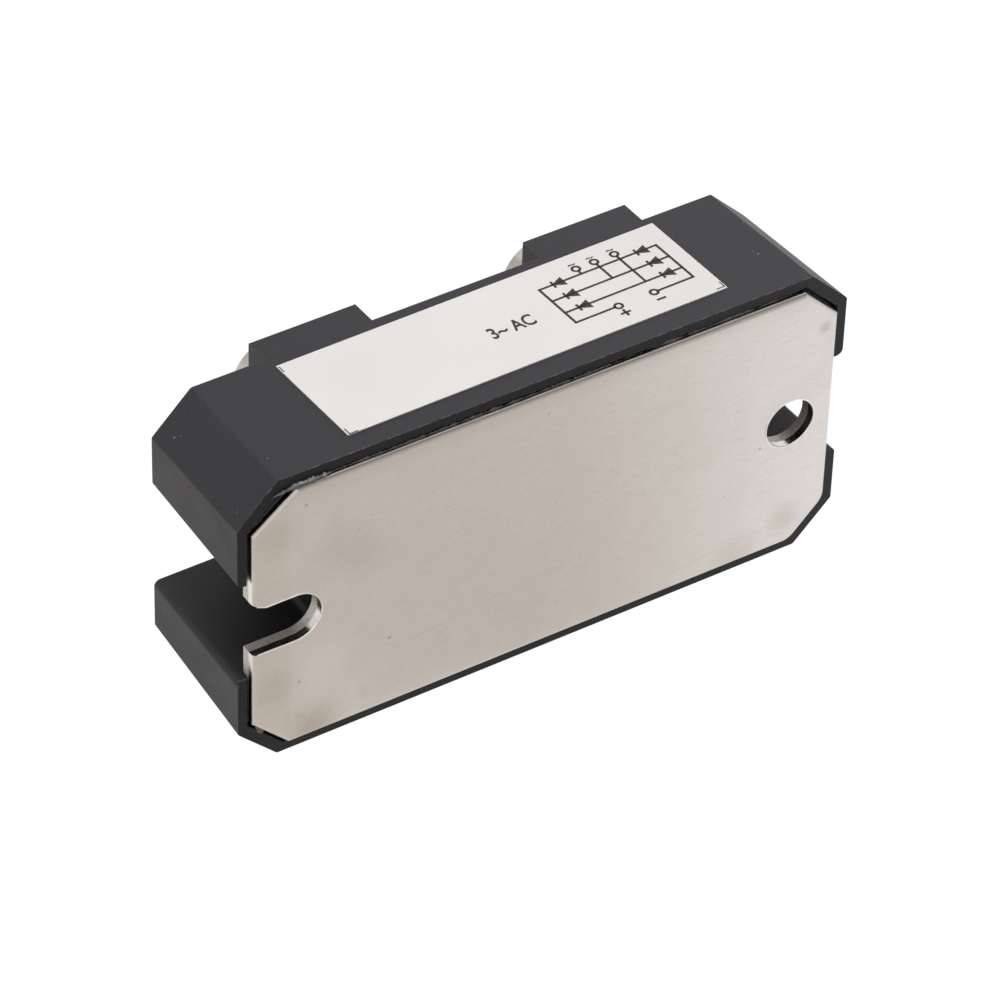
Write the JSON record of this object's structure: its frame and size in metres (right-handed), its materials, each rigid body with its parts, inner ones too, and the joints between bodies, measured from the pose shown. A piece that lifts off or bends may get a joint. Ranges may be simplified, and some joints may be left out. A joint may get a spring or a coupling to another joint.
{
  "type": "three phase bridge rectifier module",
  "caption": "Black moulded rectifier housing with raised screw terminal blocks, notched ends, a side label and a metal base plate with a fixing hole and an open slot.",
  "frame": {"origin": "centre of the base plate's mounting face", "axes": "-Y out of the base plate's mounting face and +Y towards the terminals, +X along the length towards the end with the round hole, +Z out of the labelled long side, which is up as the module stands on its other long side"},
  "size_m": [0.08, 0.0315, 0.0396],
  "materials": {
    "housing_plastic": "fine matt moulded skin with scuffed edges",
    "plated_plate": "satin nickel plate, lightly brushed, with smudges",
    "label_film": "satin printed film",
    "resin": "cast resin",
    "alumina": "fired",
    "bare_copper": "bare copper sheet",
    "silicon": "polished chip",
    "plated_strip": "nickel plated strip",
    "plated_steel": "bright nickel plate"
  },
  "bodies": {
    "module": {"housing": "housing_plastic", "base_plate": "plated_plate", "label": "label_film", "potting": "resin", "ceramic_substrate": "alumina", "copper_plus": "bare_copper", "copper_minus": "bare_copper", "comb_minus": "bare_copper", "copper_ac_1": "bare_copper", "diode_upper_1": "silicon", "diode_lower_1": "silicon", "clip_ac_1": "bare_copper", "copper_ac_2": "bare_copper", "diode_upper_2": "silicon", "diode_lower_2": "silicon", "clip_ac_2": "bare_copper", "copper_ac_3": "bare_copper", "diode_upper_3": "silicon", "diode_lower_3": "silicon", "clip_ac_3": "bare_copper", "terminal_plus": "plated_strip", "nut_plus": "plated_steel", "terminal_minus": "plated_strip", "nut_minus": "plated_steel", "terminal_ac_1": "plated_strip", "nut_ac_1": "plated_steel", "terminal_ac_2": "plated_strip", "nut_ac_2": "plated_steel", "terminal_ac_3": "plated_strip", "nut_ac_3": "plated_steel"},
    "washers_plus": {"flat_washer_plus": "plated_steel", "spring_washer_plus": "plated_steel"},
    "screw_plus": {"screw_plus": "plated_steel"},
    "washers_minus": {"flat_washer_minus": "plated_steel", "spring_washer_minus": "plated_steel"},
    "screw_minus": {"screw_minus": "plated_steel"},
    "washers_ac_1": {"flat_washer_ac_1": "plated_steel", "spring_washer_ac_1": "plated_steel"},
    "screw_ac_1": {"screw_ac_1": "plated_steel"},
    "washers_ac_2": {"flat_washer_ac_2": "plated_steel", "spring_washer_ac_2": "plated_steel"},
    "screw_ac_2": {"screw_ac_2": "plated_steel"},
    "washers_ac_3": {"flat_washer_ac_3": "plated_steel", "spring_washer_ac_3": "plated_steel"},
    "screw_ac_3": {"screw_ac_3": "plated_steel"}
  },
  "joints": [
    {"name": "lift_plus", "type": "slide", "parent": "module", "child": "washers_plus", "axis": [0, 1, 0], "range_m": [0, 0.0064]},
    {"name": "turn_plus", "type": "hinge", "parent": "washers_plus", "child": "screw_plus", "pos_m": [-0.018, 0.0277, 0.007], "axis": [0, 1, 0], "range_deg": [0, 2880]},
    {"name": "lift_minus", "type": "slide", "parent": "module", "child": "washers_minus", "axis": [0, 1, 0], "range_m": [0, 0.0064]},
    {"name": "turn_minus", "type": "hinge", "parent": "washers_minus", "child": "screw_minus", "pos_m": [0.018, 0.0277, 0.007], "axis": [0, 1, 0], "range_deg": [0, 2880]},
    {"name": "lift_ac_1", "type": "slide", "parent": "module", "child": "washers_ac_1", "axis": [0, 1, 0], "range_m": [0, 0.0064]},
    {"name": "turn_ac_1", "type": "hinge", "parent": "washers_ac_1", "child": "screw_ac_1", "pos_m": [-0.018, 0.0277, -0.007], "axis": [0, 1, 0], "range_deg": [0, 2880]},
    {"name": "lift_ac_2", "type": "slide", "parent": "module", "child": "washers_ac_2", "axis": [0, 1, 0], "range_m": [0, 0.0064]},
    {"name": "turn_ac_2", "type": "hinge", "parent": "washers_ac_2", "child": "screw_ac_2", "pos_m": [0, 0.0277, -0.007], "axis": [0, 1, 0], "range_deg": [0, 2880]},
    {"name": "lift_ac_3", "type": "slide", "parent": "module", "child": "washers_ac_3", "axis": [0, 1, 0], "range_m": [0, 0.0064]},
    {"name": "turn_ac_3", "type": "hinge", "parent": "washers_ac_3", "child": "screw_ac_3", "pos_m": [0.018, 0.0277, -0.007], "axis": [0, 1, 0], "range_deg": [0, 2880]}
  ],
  "couplings": [
    {"joint": "turn_plus", "follows": "lift_plus", "rad_per_m": 7853.9},
    {"joint": "turn_minus", "follows": "lift_minus", "rad_per_m": 7853.9},
    {"joint": "turn_ac_1", "follows": "lift_ac_1", "rad_per_m": 7853.9},
    {"joint": "turn_ac_2", "follows": "lift_ac_2", "rad_per_m": 7853.9},
    {"joint": "turn_ac_3", "follows": "lift_ac_3", "rad_per_m": 7853.9}
  ]
}
